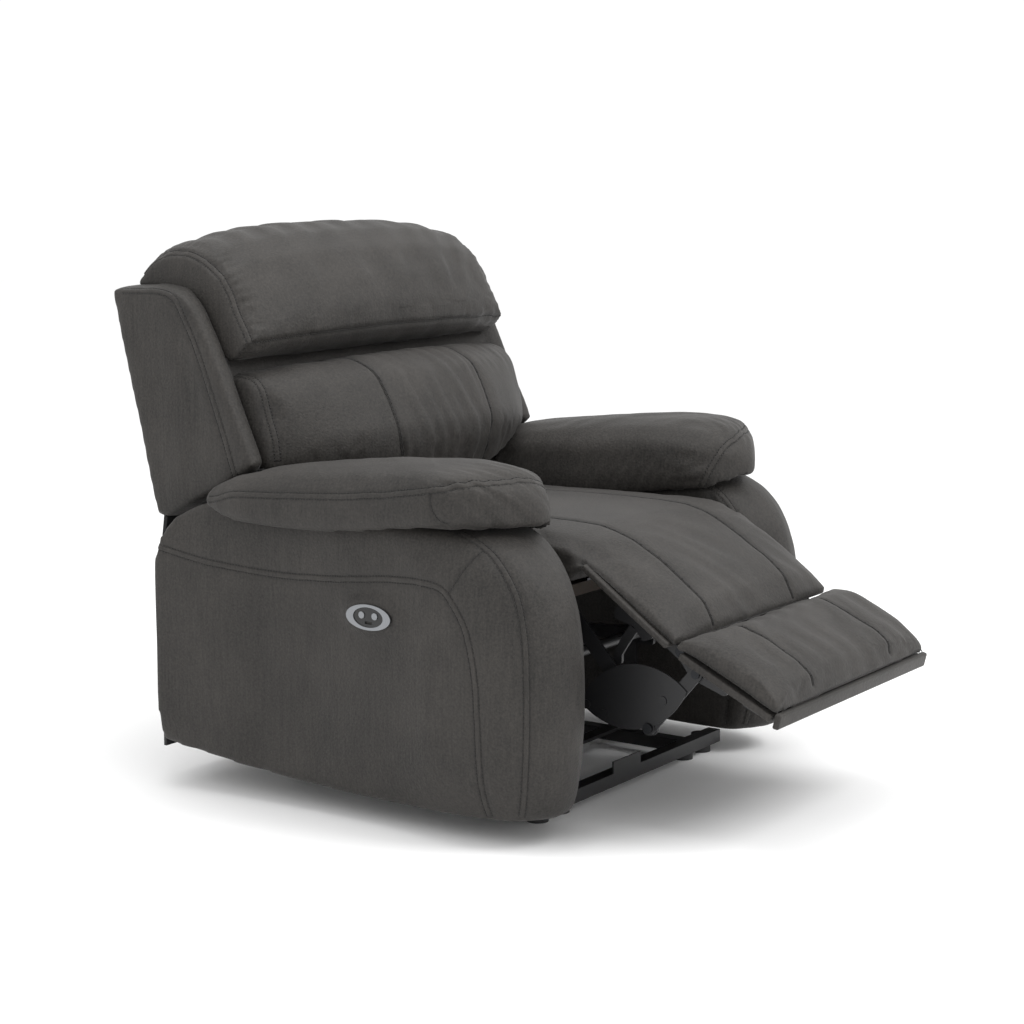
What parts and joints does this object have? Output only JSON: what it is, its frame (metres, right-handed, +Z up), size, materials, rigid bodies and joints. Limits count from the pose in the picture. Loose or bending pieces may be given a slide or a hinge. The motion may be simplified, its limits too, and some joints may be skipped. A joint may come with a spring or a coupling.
{
  "type": "recliner armchair",
  "caption": "Powered recliner armchair with padded arms, lumbar and head cushions, and a two-board leg rest lifted by a motor-driven link mechanism.",
  "frame": {"origin": "on the floor, under the middle of the chair's box", "axes": "+Z up, the chair faces -Y, the sitter's left hand is at +X"},
  "size_m": [1.039, 1.2953, 1.0069],
  "materials": {
    "upholstery": "charcoal leather-look fabric, matt",
    "black_cambric": "black non-woven cloth",
    "timber": "raw plywood",
    "rear_board": "black-covered board",
    "black_steel": "satin black powder coat",
    "zinc_steel": "zinc plated",
    "spring_steel": "drawn wire",
    "black_plastic": "moulded matt",
    "rail_aluminium": "extruded",
    "switch_silver": "satin silver",
    "switch_black": "gloss black"
  },
  "bodies": {
    "base": {"actuator_rail": "rail_aluminium", "arm_body_left": "upholstery", "arm_body_right": "upholstery", "arm_bolts": "zinc_steel", "arm_frame_panels": "timber", "arm_pad_left": "upholstery", "arm_pad_right": "upholstery", "base_side_rails": "black_steel", "control_box": "black_plastic", "cross_braces": "black_steel", "floor_glides": "black_plastic", "front_cross_rail": "black_steel", "gearbox_housing": "black_plastic", "lead_screw": "zinc_steel", "mechanism_plate_left": "black_steel", "mechanism_plate_right": "black_steel", "motor_housing": "black_plastic", "motor_mount_bracket": "black_steel", "pivot_bolts": "zinc_steel", "power_inlet": "black_plastic", "rail_post": "black_steel", "rear_battens": "timber", "rear_cross_rail": "black_steel", "rear_panel": "rear_board", "seat_cushion": "upholstery", "seat_frame": "timber", "seat_springs": "spring_steel", "spring_clips": "spring_steel", "switch_bezel": "switch_silver", "switch_face": "switch_black", "switch_housing": "black_plastic", "usb_socket": "switch_silver"},
    "main_links": {"main_links": "black_steel", "elbow_pins": "zinc_steel", "drive_tube": "black_steel"},
    "front_links": {"front_links": "black_steel", "link_covers": "black_steel", "cover_rivets": "zinc_steel"},
    "chaise": {"chaise_board": "timber", "chaise_pad": "upholstery", "chaise_brackets": "black_steel", "legrest_stays": "black_steel", "knee_pins": "zinc_steel"},
    "footrest": {"footrest_board": "upholstery", "footrest_border": "upholstery", "footrest_pad": "upholstery", "footrest_brackets": "black_steel", "footrest_pins": "zinc_steel"},
    "back": {"back_shell": "upholstery", "headrest_cushion": "upholstery", "lumbar_cushion": "upholstery", "back_frame": "timber", "back_springs": "spring_steel", "back_brackets": "black_steel", "back_skirt": "black_cambric"},
    "carriage": {"actuator_carriage": "black_plastic", "push_fork": "black_steel"},
    "button_open": {"button_open": "switch_silver"},
    "button_close": {"button_close": "switch_silver"}
  },
  "joints": [
    {"name": "back_recline", "type": "hinge", "parent": "base", "child": "back", "pos_m": [0, 0.36, 0.39], "axis": [-1, 0, 0], "range_deg": [0, 34]},
    {"name": "legrest_extend", "type": "hinge", "parent": "base", "child": "chaise", "pos_m": [0, -0.299, 0.496], "axis": [-1, 0, 0], "range_deg": [-48, 30]},
    {"name": "footrest_tilt", "type": "hinge", "parent": "chaise", "child": "footrest", "pos_m": [0, -0.451, 0.326], "axis": [-1, 0, 0], "range_deg": [-12.2, 7.7]},
    {"name": "main_link_swing", "type": "hinge", "parent": "base", "child": "main_links", "pos_m": [0, -0.212, 0.39], "axis": [-1, 0, 0], "range_deg": [-50.6, 31.7]},
    {"name": "front_link_swing", "type": "hinge", "parent": "main_links", "child": "front_links", "pos_m": [0, -0.3935, 0.1877], "axis": [-1, 0, 0], "range_deg": [-31.7, 50.6]},
    {"name": "carriage_slide", "type": "slide", "parent": "base", "child": "carriage", "axis": [0, -1, 0], "range_m": [-0.0812, 0.0508]},
    {"name": "open_press", "type": "slide", "parent": "base", "child": "button_open", "axis": [1, 0, 0], "range_m": [0, 0.0014], "stiffness_N_per_m": 900, "springref_m": -0.0005},
    {"name": "close_press", "type": "slide", "parent": "base", "child": "button_close", "axis": [1, 0, 0], "range_m": [0, 0.0014], "stiffness_N_per_m": 900, "springref_m": -0.0005}
  ],
  "couplings": [
    {"joint": "footrest_tilt", "follows": "legrest_extend", "ratio": 0.25},
    {"joint": "main_link_swing", "follows": "legrest_extend", "ratio": 1.05},
    {"joint": "front_link_swing", "follows": "legrest_extend", "ratio": -1.05},
    {"joint": "carriage_slide", "follows": "legrest_extend", "m_per_rad": 0.0966}
  ]
}
